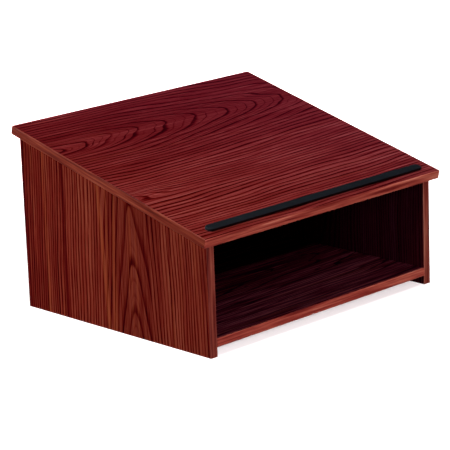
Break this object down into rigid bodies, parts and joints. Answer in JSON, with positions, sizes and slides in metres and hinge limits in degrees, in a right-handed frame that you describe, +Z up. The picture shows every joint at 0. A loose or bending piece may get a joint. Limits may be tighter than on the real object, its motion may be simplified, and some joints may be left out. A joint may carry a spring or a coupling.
{
  "type": "photo album stand",
  "caption": "Tabletop stand like a small lectern: sloped reading board with a black book stop on trapezoid sides, over an open cubby with a raised shelf and a closed back.",
  "frame": {"origin": "on the table, under the middle of the stand's outline", "axes": "+X to the reader's right, +Y to the back (the tall side), +Z up; the cubby opens towards -Y"},
  "size_m": [0.604, 0.4968, 0.3425],
  "materials": {
    "reading_laminate": "satin",
    "panel_laminate": "satin",
    "shelf_laminate": "satin",
    "edge_band": "satin",
    "book_stop": "satin",
    "cam_zinc": "satin",
    "steel_hardware": "satin",
    "dowel_beech": "matte"
  },
  "bodies": {
    "root": {"back_panel": "panel_laminate", "book_stop": "book_stop", "cam_back_left_lower": "cam_zinc", "cam_back_left_upper": "cam_zinc", "cam_back_right_lower": "cam_zinc", "cam_back_right_upper": "cam_zinc", "cam_bolt_back_left_lower": "steel_hardware", "cam_bolt_back_left_upper": "steel_hardware", "cam_bolt_back_right_lower": "steel_hardware", "cam_bolt_back_right_upper": "steel_hardware", "cam_bolt_reading_left_front": "steel_hardware", "cam_bolt_reading_left_rear": "steel_hardware", "cam_bolt_reading_right_front": "steel_hardware", "cam_bolt_reading_right_rear": "steel_hardware", "cam_bolt_shelf_left_front": "steel_hardware", "cam_bolt_shelf_left_rear": "steel_hardware", "cam_bolt_shelf_right_front": "steel_hardware", "cam_bolt_shelf_right_rear": "steel_hardware", "cam_reading_left_front": "cam_zinc", "cam_reading_left_rear": "cam_zinc", "cam_reading_right_front": "cam_zinc", "cam_reading_right_rear": "cam_zinc", "cam_shelf_left_front": "cam_zinc", "cam_shelf_left_rear": "cam_zinc", "cam_shelf_right_front": "cam_zinc", "cam_shelf_right_rear": "cam_zinc", "dowel_back_left": "dowel_beech", "dowel_back_right": "dowel_beech", "dowel_reading_left_front": "dowel_beech", "dowel_reading_left_rear": "dowel_beech", "dowel_reading_right_front": "dowel_beech", "dowel_reading_right_rear": "dowel_beech", "dowel_shelf_back_left": "dowel_beech", "dowel_shelf_back_right": "dowel_beech", "dowel_shelf_left_front": "dowel_beech", "dowel_shelf_left_rear": "dowel_beech", "dowel_shelf_right_front": "dowel_beech", "dowel_shelf_right_rear": "dowel_beech", "left_side_front_band": "edge_band", "left_side_panel": "panel_laminate", "left_side_rear_band": "edge_band", "reading_board": "reading_laminate", "reading_front_band": "edge_band", "reading_left_band": "edge_band", "reading_rear_band": "edge_band", "reading_right_band": "edge_band", "right_side_front_band": "edge_band", "right_side_panel": "panel_laminate", "right_side_rear_band": "edge_band", "shelf_front_band": "edge_band", "shelf_panel": "shelf_laminate", "stop_screw_1": "steel_hardware", "stop_screw_2": "steel_hardware", "stop_screw_3": "steel_hardware", "stop_screw_4": "steel_hardware"}
  },
  "joints": []
}
